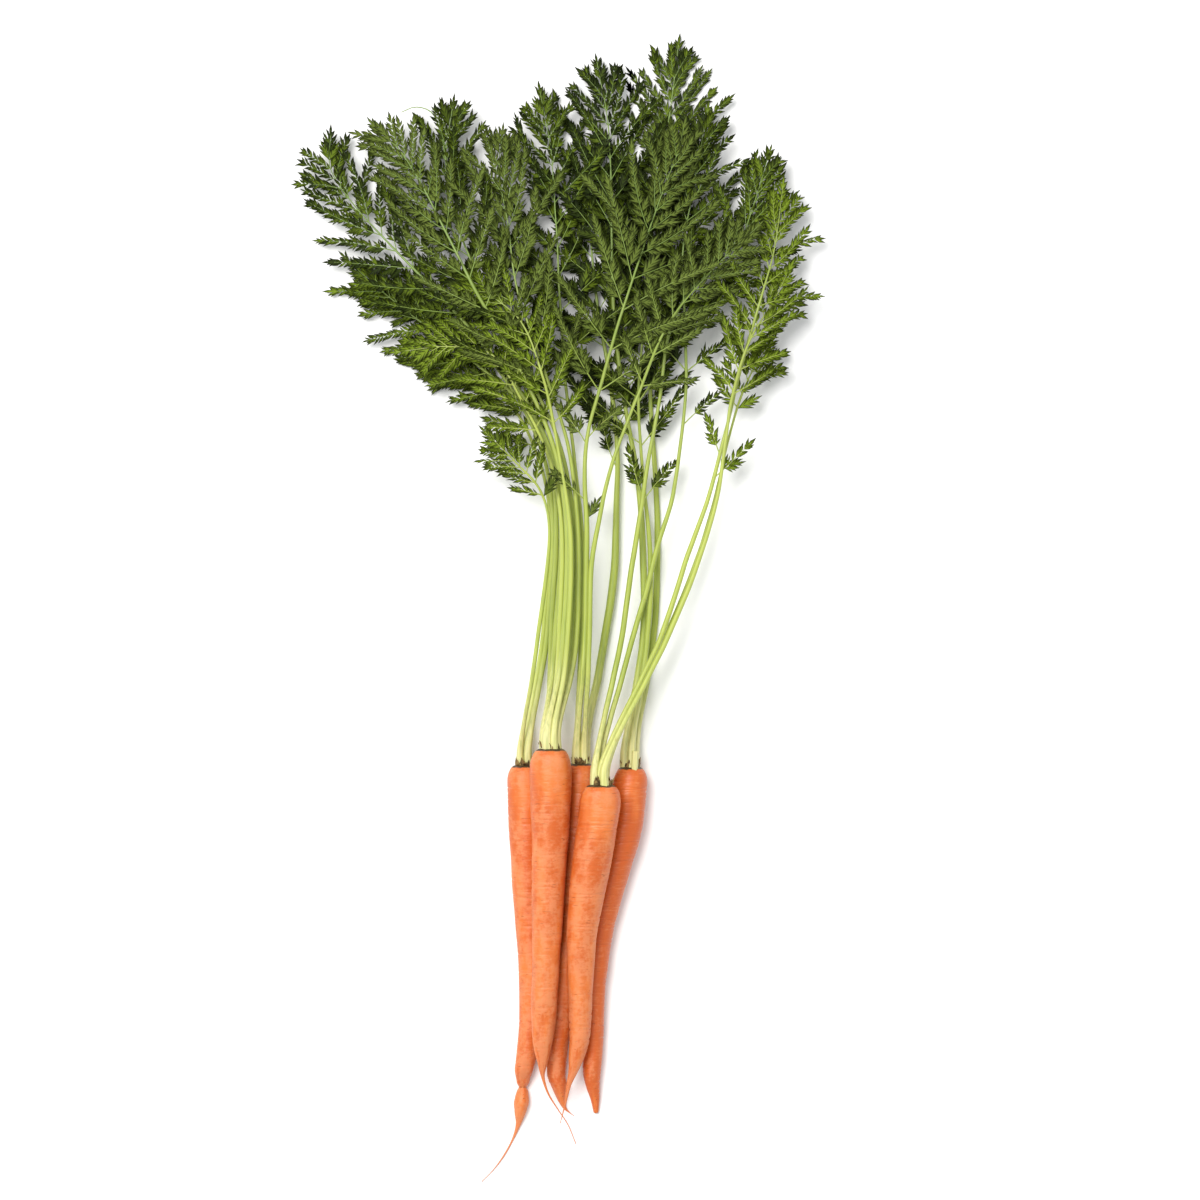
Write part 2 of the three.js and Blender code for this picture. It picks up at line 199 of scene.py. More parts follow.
def count_setting(name, description, default, low, high):
    return bpy.props.IntProperty(name=name, description=description, min=low, max=high, default=default)


class CarrotSkinSettings(bpy.types.PropertyGroup):
    skin_color: color_setting("Skin", "Colour of the root's skin", (0.74, 0.196, 0.041))
    deep_color: color_setting("Deep Skin", "Colour of the skin's darker areas", (0.60, 0.117, 0.018))
    bloom_color: color_setting("Bloom", "Colour of the dry pale bloom on the skin", (0.75, 0.290, 0.125))
    crown_color: color_setting("Crown", "Colour of the dark ring at the crown", (0.055, 0.030, 0.010))
    groove_depth: distance_setting("Groove Depth", "How deep the rings in the skin are", 0.00022, 0, 0.002)
    rings: count_setting("Rings", "Rings of faces along a root", 540, 40, 1200)
    sides: count_setting("Sides", "Faces round a root", 64, 12, 160)
    seed: count_setting("Seed", "Seed of the skin's grooves", 4, 0, 9999)


class CarrotStalkSettings(bpy.types.PropertyGroup):
    base_color: color_setting("Base", "Colour of a stalk where it leaves the crown", (0.77, 0.71, 0.32))
    stalk_color: color_setting("Stalk", "Colour of the middle of a stalk", (0.42, 0.485, 0.078))
    rib_color: color_setting("Rib", "Colour of the ribs in the leaf", (0.19, 0.285, 0.062))
    ridges: count_setting("Ridges", "Ridges round a stalk", 6, 3, 12)
    ridge_depth: share_setting(
        "Ridge Depth", "Depth of a ridge as a share of the stalk's radius", 0.07, 0, 0.3)
    sides: count_setting("Sides", "Faces round a stalk", 18, 6, 48)


class CarrotLeafSettings(bpy.types.PropertyGroup):
    top_color: color_setting("Top", "Colour of a leaf's upper side", (0.014, 0.022, 0.004))
    bright_color: color_setting("Bright", "Colour of the brightest young leaf", (0.110, 0.158, 0.012))
    under_color: color_setting("Underside", "Colour of a leaf's underside", (0.072, 0.097, 0.018))
    branch_spacing: share_setting(
        "Branch Spacing", "Space between the lowest branches as a share of the half width", 0.74, 0.2, 2)
    branch_width: share_setting(
        "Branch Width", "Length of a branch's leaflets as a share of the branch", 0.30, 0.1, 1)
    size_spread: share_setting("Size Spread", "How much the size of the leaflets varies", 0.18, 0, 1)
    ripple: distance_setting("Ripple", "How far the leaf ripples", 0.0010, 0, 0.01)
    seed: count_setting("Seed", "Seed of the leaves' growth", 11, 0, 9999)


class CarrotStageSettings(bpy.types.PropertyGroup):
    floor_color: color_setting("Floor", "Colour of the surface", (0.97, 0.97, 0.97))
    sky: bpy.props.FloatProperty(
        name="Sky", description="Strength of the even light from all round", min=0, max=5, default=0.72)
    key: bpy.props.FloatProperty(
        name="Key Light", description="Power of the large soft light", subtype="POWER", unit="POWER",
        min=0, max=500, default=54)
    camera_height: distance_setting("Camera Height", "Height of the camera", 2.4, 0.5, 10)
    field: distance_setting("Field", "Width that the camera sees at the bunch", 0.672, 0.1, 5)


# Node helpers.

class Nodes:
    """Builds a node tree by adding nodes whose inputs are values or other nodes' outputs."""

    def __init__(self, tree):
        self.tree = tree

    def add(self, kind, inputs=None, **settings):
        node = self.tree.nodes.new(kind)
        for name, value in settings.items():
            setattr(node, name, value)
        for key, value in (inputs or {}).items():
            socket = find_socket(node.inputs, key)
            if isinstance(value, bpy.types.NodeSocket):
                self.tree.links.new(value, socket)
            else:
                socket.default_value = value
        return node

    def out(self, kind, inputs=None, **settings):
        """The first output of a new node."""
        return self.add(kind, inputs, **settings).outputs[0]

    def attribute(self, name, kind="FLOAT"):
        """A value stored on the points, in a geometry tree."""
        node = self.add("GeometryNodeInputNamedAttribute", {"Name": name}, data_type=kind)
        return find_socket(node.outputs, "Attribute")

    def stored(self, name, output="Fac"):
        """A value stored on the mesh, in a material."""
        return self.add("ShaderNodeAttribute", attribute_name=name).outputs[output]

    def math(self, operation, first, second=0.0, third=0.0):
        return self.out("ShaderNodeMath", {0: first, 1: second, 2: third}, operation=operation)

    def scaled(self, vector, scale):
        return self.out("ShaderNodeVectorMath", {"Vector": vector, "Scale": scale}, operation="SCALE")

    def layer(self, under, over, mask, amount=1.0):
        """The colour over, laid on the colour under where the mask is full, by this amount."""
        if amount < 1.0:
            mask = self.math("MULTIPLY", mask, amount)
        colors = [color if isinstance(color, bpy.types.NodeSocket) else (*color, 1.0)
                  for color in (under, over)]
        node = self.add(
            "ShaderNodeMix", {"Factor_Float": mask, "A_Color": colors[0], "B_Color": colors[1]},
            data_type="RGBA")
        return find_socket(node.outputs, "Result_Color")

    def ramp(self, value, low, high):
        return self.out("ShaderNodeMapRange", {
            "Value": value, "From Min": low, "From Max": high, "To Min": 0.0, "To Max": 1.0},
            interpolation_type="SMOOTHSTEP")

    def noise(self, place, scale, detail, roughness=0.5):
        return self.add("ShaderNodeTexNoise", {
            "Vector": place, "Scale": scale, "Detail": detail, "Roughness": roughness}).outputs["Fac"]

    def place(self):
        """The place on the piece, in a material."""
        return self.add("ShaderNodeTexCoord").outputs["Object"]


def find_socket(sockets, key):
    """The socket with this number, identifier or shown name."""
    if isinstance(key, int):
        return sockets[key]
    for socket in sockets:
        if socket.identifier == key:
            return socket
    for socket in sockets:
        if socket.enabled and socket.name == key:
            return socket
    raise KeyError(f"no socket {key}")


# Materials.

# The next green serves both the real fibre streaks on a stalk and painted shade in its grooves.
STREAK_AND_GROOVE_SHADE_GREEN = (0.16, 0.25, 0.045)
WARM_GREEN = (0.58, 0.63, 0.13)
FRECKLE_BROWN = (0.33, 0.21, 0.06)
DRY_BROWN = (0.30, 0.20, 0.07)


def new_material(name, roughness, specular):
    material = bpy.data.materials.new(name)
    material.use_nodes = True
    material.node_tree.nodes.clear()
    nodes = Nodes(material.node_tree)
    shader = nodes.add("ShaderNodeBsdfPrincipled", {
        "Specular IOR Level": specular, "Roughness": roughness})
    nodes.add("ShaderNodeOutputMaterial", {"Surface": shader.outputs[0]})
    return material, nodes, shader


def finish_material(nodes, shader, color, height, strength, depth):
    """Gives the shader its colour, and a bump of this strength and depth from the height."""
    bump = nodes.out("ShaderNodeBump", {"Strength": strength, "Distance": depth, "Height": height})
    nodes.tree.links.new(color, shader.inputs["Base Color"])
    nodes.tree.links.new(bump, shader.inputs["Normal"])


def glow_under(shader, weight, colors, depth):
    """Lets light travel a little way under the surface, each colour to its own depth."""
    shader.inputs["Subsurface Weight"].default_value = weight
    shader.inputs["Subsurface Radius"].default_value = colors
    shader.inputs["Subsurface Scale"].default_value = depth


def skin_material(settings):
    """Orange skin: deeper patches, fine pale rings, short dark pores, dry bloom and a dark crown."""
    material, nodes, shader = new_material("carrot skin", 0.45, 0.4)
    skin = nodes.stored("skin", "Vector")
    ruddy = nodes.stored("ruddy")

    def grains(around, along, detail, roughness=0.5):
        """Noise with this many grains in a metre round the root and along it."""
        mapped = nodes.out("ShaderNodeMapping", {"Vector": skin, "Scale": (around, around, along)})
        return nodes.noise(mapped, 1.0, detail, roughness)

    patches = nodes.ramp(nodes.math("SUBTRACT", grains(70, 30, 3), ruddy), 0.38, 0.66)
    color = nodes.layer(settings.deep_color, settings.skin_color, patches)
    streaks = nodes.ramp(grains(110, 900, 3), 0.52, 0.72)
    color = nodes.layer(color, settings.bloom_color, streaks, amount=0.28)
    cloud = grains(210, 420, 6, 0.65)
    haze = nodes.math("MULTIPLY_ADD", cloud, 0.45, nodes.math("MULTIPLY", grains(90, 55, 4, 0.6), 0.55))
    dryness = nodes.math("MULTIPLY_ADD", nodes.stored("share"), 0.10, haze)
    bloom = nodes.ramp(nodes.math("SUBTRACT", dryness, ruddy), 0.46, 0.62)
    color = nodes.layer(color, settings.bloom_color, bloom, amount=0.55)
    pores = nodes.ramp(grains(160, 1500, 1), 0.70, 0.76)
    pore_color = [0.45 * channel for channel in settings.deep_color]
    color = nodes.layer(color, pore_color, pores, amount=0.55)
    edge = nodes.math("MULTIPLY_ADD", grains(300, 300, 3), 0.6, nodes.stored("crown"))
    color = nodes.layer(color, settings.crown_color, nodes.ramp(edge, 0.72, 1.02))

    nodes.tree.links.new(nodes.math("MULTIPLY_ADD", bloom, 0.22, 0.38), shader.inputs["Roughness"])
    glow_under(shader, 0.10, (0.9, 0.35, 0.12), 3 * MM)
    height = nodes.math("MULTIPLY_ADD", grains(140, 1300, 3), 0.7, cloud)
    finish_material(nodes, shader, color, height, strength=0.5, depth=0.35 * MM)
    return material


def stalk_material(settings):
    """Ribbed stalk: cream at the crown, yellow green, then green along the ribs of the leaf."""
    material, nodes, shader = new_material("carrot stalk", 0.42, 0.4)
    along = nodes.stored("along")
    color = nodes.layer(settings.base_color, settings.stalk_color, nodes.ramp(along, 0.004, 0.075))
    color = nodes.layer(color, settings.rib_color, nodes.ramp(along, 0.150, 0.330))
    place = nodes.place()
    mapped = nodes.out("ShaderNodeMapping", {"Vector": place, "Scale": (900, 45, 900)})
    fibres = nodes.noise(mapped, 1.0, 3.0)
    # Painted shade: the grooves between a stalk's ridges are laid darker green, along with its real fibre
    # streaks.
    groove_shade = nodes.math("MULTIPLY", nodes.math("SUBTRACT", 1.0, nodes.stored("around")), 0.30)
    fibre_streak_and_groove_shade = nodes.math("MULTIPLY_ADD", nodes.ramp(fibres, 0.40, 0.68), 0.25, groove_shade)
    color = nodes.layer(color, STREAK_AND_GROOVE_SHADE_GREEN, fibre_streak_and_groove_shade)
    color = nodes.layer(color, WARM_GREEN, nodes.ramp(nodes.stored("tone"), 0.1, 1.6), amount=0.4)
    freckles = nodes.ramp(nodes.noise(place, 90.0, 4.0), 0.68, 0.76)
    color = nodes.layer(color, FRECKLE_BROWN, freckles, amount=0.35)
    glow_under(shader, 0.08, (0.5, 0.7, 0.2), 2 * MM)
    finish_material(nodes, shader, color, fibres, strength=0.35, depth=0.2 * MM)
    return material


def leaflet_material(settings):
    """Leaf green: dark above, greyer beneath, varied from leaflet to leaflet, with painted shade darker at
    the lobe edges.
    """
    material, nodes, shader = new_material("carrot leaflet", 0.55, 0.04)
    under = nodes.stored("under")
    place = nodes.place()
    # The tone carries a leaf's own brightness and, for many lower leaves, painted shade.
    shade = nodes.math("MULTIPLY_ADD", nodes.stored("tint"), 0.75, nodes.stored("tone"))
    shade = nodes.math("ADD", shade, nodes.math("MULTIPLY_ADD", nodes.noise(place, 420.0, 3.0), 0.8, -0.4))
    upper = nodes.layer(settings.top_color, settings.bright_color, nodes.ramp(shade, -1.2, 1.4))
    brighter = [1.25 * channel for channel in settings.under_color]
    lower = nodes.layer(settings.under_color, brighter, nodes.ramp(shade, -1.6, 1.6))
    # Painted shade: the colour is scaled from dark at the lobe edges to lighter along the midrib, standing
    # in for the shadowed gaps between lobes.
    depth = nodes.math("MULTIPLY_ADD", nodes.ramp(nodes.stored("rib"), 0.0, 0.75), 1.30, 0.22)
    color = nodes.scaled(nodes.layer(upper, lower, under), depth)
    nodes.tree.links.new(nodes.math("MULTIPLY_ADD", under, 0.14, 0.46), shader.inputs["Roughness"])
    finish_material(nodes, shader, color, nodes.noise(place, 1800.0, 2.0), strength=0.3, depth=0.1 * MM)
    return material


def crown_material(settings):
    """Dry brown scales and old stalk ends."""
    material, nodes, shader = new_material("carrot crown", 0.75, 0.25)
    noise = nodes.noise(nodes.place(), 500.0, 4.0)
    color = nodes.layer(settings.crown_color, DRY_BROWN, nodes.ramp(noise, 0.35, 0.70))
    finish_material(nodes, shader, color, noise, strength=0.6, depth=0.3 * MM)
    return material


def floor_material(settings):
    """A pale surface with a faint unevenness."""
    material, nodes, shader = new_material("pale surface", 0.9, 0.1)
    darker = [0.985 * channel for channel in settings.floor_color]
    color = nodes.layer(settings.floor_color, darker, nodes.noise(nodes.place(), 3.0, 2.0))
    nodes.tree.links.new(color, shader.inputs["Base Color"])
    return material


# Meshes and paths.

CURVE_STEPS = 24


def smooth_path(places, step):
    """A centripetal Catmull-Rom curve through the places, cut into even steps of arc length."""
    places = np.asarray(places, float)
    points = np.vstack([2 * places[0] - places[1], places, 2 * places[-1] - places[-2]])
    knots = np.concatenate([[0], np.cumsum(np.linalg.norm(np.diff(points, axis=0), axis=1) ** 0.5)])
    curve = [places[0]]
    for i in range(1, len(points) - 2):
        near, knot = list(points[i - 1:i + 3]), knots[i - 1:i + 3]
        t = np.linspace(knot[1], knot[2], CURVE_STEPS + 1)[1:, None]
        for spans in (((0, 1), (1, 2), (2, 3)), ((0, 2), (1, 3)), ((1, 2),)):
            near = [
                ((knot[b] - t) * near[k] + (t - knot[a]) * near[k + 1]) / (knot[b] - knot[a])
                for k, (a, b) in enumerate(spans)]
        curve.extend(near[0])
    curve = np.array(curve)
    reach = arc_lengths(curve)
    even = np.linspace(0, reach[-1], max(3, round(reach[-1] / step) + 1))
    return np.column_stack([np.interp(even, reach, curve[:, axis]) for axis in range(curve.shape[1])])


def arc_lengths(curve):
    """How far along the curve each of its points is."""
    return np.concatenate([[0], np.cumsum(np.linalg.norm(np.diff(curve, axis=0), axis=1))])


def at_reach(place, reach, values):
    """The values at one place along a path."""
    return np.array([np.interp(place, reach, values[:, axis]) for axis in range(3)])


def unit(vectors):
    return vectors / np.linalg.norm(vectors, axis=-1, keepdims=True)


def smoothstep(values, low, high):
    share = np.clip((np.asarray(values, float) - low) / (high - low), 0, 1)
    return share * share * (3 - 2 * share)


def turned(vector, axis, angle):
    """The vector turned about an axis."""
    return np.array(Matrix.Rotation(angle, 3, Vector(axis)) @ Vector(vector))


def new_object(name, vertices, edges, faces):
    mesh = bpy.data.meshes.new(name)
    mesh.from_pydata([tuple(v) for v in vertices], edges, faces)
    mesh.update()
    piece = bpy.data.objects.new(name, mesh)
    bpy.context.scene.collection.objects.link(piece)
    return piece


def set_attribute(mesh, name, values, kind="FLOAT", domain="POINT"):
    attribute = mesh.attributes.new(name, kind, domain)
    field = "vector" if kind == "FLOAT_VECTOR" else "value"
    whole = np.int32 if kind == "INT" else float
    attribute.data.foreach_set(field, np.asarray(values, whole).ravel())


def cad_rings(name):
    """How far up a root's crown is, and its rings: [distance from the crown, x, z, radius]."""
    vertices = np.array([vertex.co[:] for vertex in frame["nodes"][name].data.vertices])
    heights = np.round(vertices[:, 1], 5)
    crown_y = heights.max()
    rings = []
    for y in sorted(set(heights), reverse=True):
        ring = vertices[heights == y]
        low, high = ring.min(axis=0), ring.max(axis=0)
        middle = (low + high) / 2
        rings.append((crown_y - y, middle[0], middle[2], (high[0] - low[0]) / 2))
    return crown_y, np.array(rings)


# Roots.

SHOULDER = 11 * MM
CROWN_SHARE = 0.46  # the crown's radius as a share of the shoulder's
CROWN_STAIN = (0.2 * MM, 2.6 * MM)
DISH_DEPTH = 1.3 * MM
DISH_RINGS = ((0.78, 0.8), (0.45, 0.9))  # share of the crown's radius, share of the depth
DISH_MIDDLE = 0.7
FULL_GROOVE_RADIUS = 6 * MM
GROOVES = 95
LUMP_WAVES = 4
THINNEST = 0.45 * MM
HAIR_RADIUS = 1.0 * MM  # a tail thinner than this is a hair, and thins by HAIR_THINNING
HAIR_THINNING = 0.65
FINEST_HAIR = 0.18 * MM
TIP_LENGTH = 0.5 * MM
PINCHES = {"root_left": 182 * MM}
PINCH_DEPTH = 0.9 * MM
PINCH_WIDTH = 1.3 * MM
# How far the skin is darkened at the deepest part of the pinch.
PINCH_DARKENING = 0.6
RUDDINESS = {"root_right": 0.12, "root_middle": 0.06}


def groove_relief(distances, angles, length, depth, rng):
    """Rings pressed into the skin, each along a part of the way round."""
    relief = np.zeros((len(distances), len(angles)))
    for _ in range(GROOVES):
        centre = length * rng.uniform(0.02, 0.97) ** 1.25
        width = rng.uniform(0.25, 0.6) * MM
        middle = rng.uniform(0, 2 * math.pi)
        reach = rng.uniform(0.35, 2.2)
        wander = rng.uniform(-1.2, 1.2) * MM * np.sin(angles + rng.uniform(0, 6))
        turn = np.abs((angles - middle + math.pi) % (2 * math.pi) - math.pi)
        fade = 1 - smoothstep(turn, 0.6 * reach, reach)
        across = (distances[:, None] - centre - wander[None, :]) / width
        relief -= depth * rng.uniform(0.4, 1.3) * np.exp(-across ** 2) * fade[None, :]
    return relief


def lump_relief(distances, angles, radius, rng):
    """Slow swells that keep a root from being a perfectly turned shape."""
    relief = np.zeros((len(distances), len(angles)))
    for around in range(5):
        for _ in range(LUMP_WAVES):
            wave = 2 * math.pi / rng.uniform(14 * MM, 90 * MM)
            phase = rng.uniform(0, 6, 2)
            size = radius * rng.uniform(0.002, 0.009)
            relief += size * np.cos(around * angles[None, :] + phase[0]) * np.cos(
                wave * distances[:, None] + phase[1])
    return relief


def grow_root(name, settings, material, seed):
    """The skin of a root round the rings of its CAD solid, closed at the crown and at the tip."""
    rng = np.random.default_rng(seed)
    crown_y, rings = cad_rings(name)
    path = smooth_path(rings[1:], 1 * MM)
    length = rings[-1, 0]
    distances = np.linspace(0, length, settings.rings)
    centre_x, centre_z, radius = (np.interp(distances, path[:, 0], path[:, axis]) for axis in (1, 2, 3))
    full = np.interp(SHOULDER, path[:, 0], path[:, 3])
    share = np.clip(distances / SHOULDER, 0, 1)
    shoulder = CROWN_SHARE + (1 - CROWN_SHARE) * np.sqrt(1 - (1 - share) ** 2)
    radius = np.where(distances < SHOULDER, full * shoulder, radius)
    radius = np.maximum(radius, THINNEST)
    hair = distances[radius < HAIR_RADIUS]
    if len(hair) > 2:
        radius *= 1 - HAIR_THINNING * smoothstep(distances, hair[0], length)
    pinch = np.exp(-((distances - PINCHES.get(name, -1.0)) / PINCH_WIDTH) ** 2)
    radius -= PINCH_DEPTH * pinch

    angles = np.linspace(0, 2 * math.pi, settings.sides, endpoint=False)
    relief = groove_relief(distances, angles, length, settings.groove_depth, rng)
    relief += lump_relief(distances, angles, full, rng)
    relief *= np.minimum(1, radius / FULL_GROOVE_RADIUS)[:, None] * smoothstep(share, 0, 0.7)[:, None]
    reach = np.maximum(radius[:, None] + relief, FINEST_HAIR)
    x = centre_x[:, None] + reach * np.sin(angles)
    z = np.maximum(centre_z[:, None] + reach * np.cos(angles), FLOOR_GAP)
    y = np.repeat((crown_y - distances)[:, None], settings.sides, axis=1)
    vertices = np.stack([x, y, z], axis=2).reshape(-1, 3)
    skin = np.stack(np.broadcast_arrays(
        full * np.sin(angles), full * np.cos(angles), crown_y - y), axis=2).reshape(-1, 3)
    # Dark at the crown, and darker at the deepest part of the pinch.
    crown = 1 - smoothstep(distances, *CROWN_STAIN) + PINCH_DARKENING * pinch ** 4
    crown = np.repeat(crown[:, None], settings.sides, axis=1).ravel()

    # The crown is a shallow dish inside the shoulder, and the tail ends in a point.
    dish = []
    for inner, sunk in DISH_RINGS:
        ring = np.stack([
            centre_x[0] + inner * radius[0] * np.sin(angles),
            np.full(settings.sides, crown_y - sunk * DISH_DEPTH),
            centre_z[0] + inner * radius[0] * np.cos(angles)], axis=1)
        dish.append(ring)
    middle = [[centre_x[0], crown_y - DISH_DEPTH * DISH_MIDDLE, centre_z[0]]]
    tip = [[centre_x[-1], crown_y - length - TIP_LENGTH, centre_z[-1]]]
    body = len(vertices)
    vertices = np.vstack([vertices, *dish, middle, tip])
    extra = 2 * settings.sides + 2
    skin = np.vstack([skin, np.zeros((extra, 3))])
    crown = np.concatenate([crown, np.ones(extra - 1), [0]])

    sides = settings.sides
    around = [(k, (k + 1) % sides) for k in range(sides)]
    bands = [(ring * sides, (ring + 1) * sides) for ring in range(settings.rings - 1)]
    bands += [(body, 0), (body + sides, body)]
    faces = [(first + k, second + k, second + after, first + after)
             for first, second in bands for k, after in around]
    top, end = body + 2 * sides, body + 2 * sides + 1
    last = (settings.rings - 1) * sides
    for k, after in around:
        faces.append((top, body + sides + k, body + sides + after))
        faces.append((end, last + after, last + k))
    piece = new_object(f"{name}_skin", vertices, [], faces)
    set_attribute(piece.data, "skin", skin, "FLOAT_VECTOR")
    set_attribute(piece.data, "share", skin[:, 2] / length)
    set_attribute(piece.data, "crown", crown)
    set_attribute(piece.data, "ruddy", np.full(len(vertices), RUDDINESS.get(name, 0.0)))
    piece.data.materials.append(material)
    piece.data.polygons.foreach_set("use_smooth", [True] * len(piece.data.polygons))
    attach(piece, BODY)
    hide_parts(name)


# Growth: ribs as tubes, and shapes set on points along them.

# What each point of a growth stores, and as what: the radius of the tube there, whether it is a
# stalk (1) or a thin rib (0), how far along the leaf it is, and the turn, size and kind of its shape.
POINT_FIELDS = {
    "radius": "FLOAT", "stem": "FLOAT", "along": "FLOAT",
    "turn": "QUATERNION", "size": "FLOAT", "shape": "INT",
}
NO_TURN = (1, 0, 0, 0)


class Growth:
    """Collects the ribs of a plant and the points where leaflets or scales stand."""

    def __init__(self):
        self.places = []
        self.edges = []
        self.rows = []

    def rib(self, points, radii, along, stem=0.0):
        first = len(self.places)
        self.places.extend(points)
        self.edges.extend((first + i, first + i + 1) for i in range(len(points) - 1))
        self.rows.extend((radius, stem, reach, NO_TURN, 0.0, 0) for radius, reach in zip(radii, along))

    def shape(self, place, forward, up, size, shape, along):
        forward = Vector(forward).normalized()
        side = Vector(up).cross(forward).normalized()
        axes = Matrix((forward, side, forward.cross(side))).transposed()
        self.places.append(place)
        self.rows.append((0.0, 0.0, along, tuple(axes.to_quaternion()), size, shape))

    def piece(self, name, tone):
        piece = new_object(name, self.places, self.edges, [])
        for (field, kind), values in zip(POINT_FIELDS.items(), zip(*self.rows)):
            set_attribute(piece.data, field, values, kind)
        set_attribute(piece.data, "tone", np.full(len(self.places), tone))
        return piece


def growth_tree():
    """Geometry nodes: a ripple, tubes along the ribs, shapes on the points, and the materials."""
    tree = bpy.data.node_groups.new("Carrot growth", "GeometryNodeTree")
    tree.interface.new_socket("Geometry", in_out="INPUT", socket_type="NodeSocketGeometry")
    for name, kind in (
        ("Shapes", "Collection"), ("Size Spread", "Float"), ("Ripple", "Float"), ("Ripple Scale", "Float"),
        ("Sides", "Int"), ("Thin Sides", "Int"), ("Ridges", "Int"), ("Ridge Depth", "Float"),
        ("Seed", "Int"), ("Rib Material", "Material"), ("Shape Material", "Material"),
    ):
        tree.interface.new_socket(name, in_out="INPUT", socket_type=f"NodeSocket{kind}")
    tree.interface.new_socket("Geometry", in_out="OUTPUT", socket_type="NodeSocketGeometry")
    nodes = Nodes(tree)
    given = nodes.add("NodeGroupInput").outputs

    # A gentle ripple through everything that grows here.
    noise = nodes.add("ShaderNodeTexNoise", {"Scale": given["Ripple Scale"], "Detail": 1.0})
    centred = nodes.out("ShaderNodeVectorMath", {
        0: noise.outputs["Color"], 1: (0.5, 0.5, 0.5)}, operation="SUBTRACT")
    source = nodes.out("GeometryNodeSetPosition", {
        "Geometry": given["Geometry"], "Offset": nodes.scaled(centred, given["Ripple"])})

    # A ribbed section, and how far out each of its corners stands.
    circle = nodes.out("GeometryNodeCurvePrimitiveCircle", {"Resolution": given["Sides"], "Radius": 1.0})
    turn = nodes.math("MULTIPLY", nodes.add("GeometryNodeSplineParameter").outputs["Factor"], 2 * math.pi)
    wave = nodes.math("COSINE", nodes.math("MULTIPLY", turn, given["Ridges"]))
    ridge = nodes.math("MULTIPLY_ADD", wave, 0.5, 0.5)
    scale = nodes.math("SUBTRACT", 1.0, nodes.math(
        "MULTIPLY", nodes.math("SUBTRACT", 1.0, ridge), nodes.math("MULTIPLY", given["Ridge Depth"], 2.0)))
    ridged = nodes.scaled(nodes.out("GeometryNodeInputPosition"), scale)
    stored = nodes.out("GeometryNodeStoreNamedAttribute", {
        "Geometry": circle, "Name": "around", "Value": ridge}, domain="POINT")
    section = nodes.out("GeometryNodeSetPosition", {"Geometry": stored, "Position": ridged})

    # The stalk is a ribbed tube, and the ribs of the blade are thin round ones.
    thin = nodes.out("GeometryNodeCurvePrimitiveCircle", {"Resolution": given["Thin Sides"], "Radius": 1.0})
    stem = nodes.attribute("stem")
    tubes = nodes.add("GeometryNodeJoinGeometry")
    for chosen, profile in (
        (nodes.math("GREATER_THAN", stem, 0.5), section), (nodes.math("LESS_THAN", stem, 0.5), thin),
    ):
        curve = nodes.out("GeometryNodeMeshToCurve", {"Mesh": source, "Selection": chosen})
        tube = nodes.out("GeometryNodeCurveToMesh", {
            "Curve": curve, "Profile Curve": profile, "Scale": nodes.attribute("radius"),
            "Fill Caps": True})
        tree.links.new(tube, tubes.inputs[0])
    smooth = nodes.out("GeometryNodeSetShadeSmooth", {"Geometry": tubes.outputs[0]})

    # A shape stands on each point that has a size.
    shapes = nodes.out("GeometryNodeCollectionInfo", {
        "Collection": given["Shapes"], "Separate Children": True, "Reset Children": True})
    chosen = nodes.math("GREATER_THAN", nodes.attribute("size"), 0.0)

    def random(low, high, seed):
        node = nodes.add("FunctionNodeRandomValue", {"Min_001": low, "Max_001": high, "Seed": seed})
        return find_socket(node.outputs, "Value_001")

    spread = random(nodes.math("SUBTRACT", 1.0, given["Size Spread"]),
                    nodes.math("ADD", 1.0, given["Size Spread"]), given["Seed"])
    placed = nodes.out("GeometryNodeInstanceOnPoints", {
        "Points": source, "Selection": chosen, "Instance": shapes, "Pick Instance": True,
        "Instance Index": nodes.attribute("shape", "INT"), "Rotation": nodes.attribute("turn", "QUATERNION"),
        "Scale": nodes.math("MULTIPLY", nodes.attribute("size"), spread)})
    tinted = nodes.out("GeometryNodeStoreNamedAttribute", {
        "Geometry": placed, "Name": "tint",
        "Value": random(-1.0, 1.0, nodes.math("ADD", given["Seed"], 1.0))}, domain="INSTANCE")
    joined = nodes.add("GeometryNodeJoinGeometry")
    tree.links.new(smooth, joined.inputs[0])
    tree.links.new(tinted, joined.inputs[0])
    real = nodes.out("GeometryNodeRealizeInstances", {"Geometry": joined.outputs[0]})
    ribs = nodes.out("GeometryNodeSetMaterial", {"Geometry": real, "Material": given["Rib Material"]})
    finished = nodes.out("GeometryNodeSetMaterial", {
        "Geometry": ribs, "Selection": chosen, "Material": given["Shape Material"]})
    nodes.add("NodeGroupOutput", {"Geometry": finished})
    return tree


def apply_tree(piece, tree, values):
    """Runs the tree on the piece and keeps the result as its plain mesh."""
    modifier = piece.modifiers.new(tree.name, "NODES")
    modifier.node_group = tree
    for item in tree.interface.items_tree:
        if item.in_out == "INPUT" and item.name in values:
            modifier[item.identifier] = values[item.name]
    depsgraph = bpy.context.evaluated_depsgraph_get()
    evaluated = piece.evaluated_get(depsgraph)
    result = bpy.data.meshes.new_from_object(evaluated, preserve_all_data_layers=True, depsgraph=depsgraph)
    piece.modifiers.clear()
    old = piece.data
    piece.data = result
    bpy.data.meshes.remove(old)
    result.name = piece.name
    settle(result)


SETTLED_SHARE = 0.22
SETTLED_HEIGHT = 7 * FLOOR_GAP


def settle(mesh):
    """Presses what droops towards or through the surface back onto it."""
    places = np.empty(3 * len(mesh.vertices))
    mesh.vertices.foreach_get("co", places)
    heights = places[2::3]
    pressed = SETTLED_SHARE * heights + SETTLED_HEIGHT
    places[2::3] = np.maximum(np.maximum(heights, pressed), FLOOR_GAP)
    mesh.vertices.foreach_set("co", places)
    mesh.update()


# Leaflet shapes.

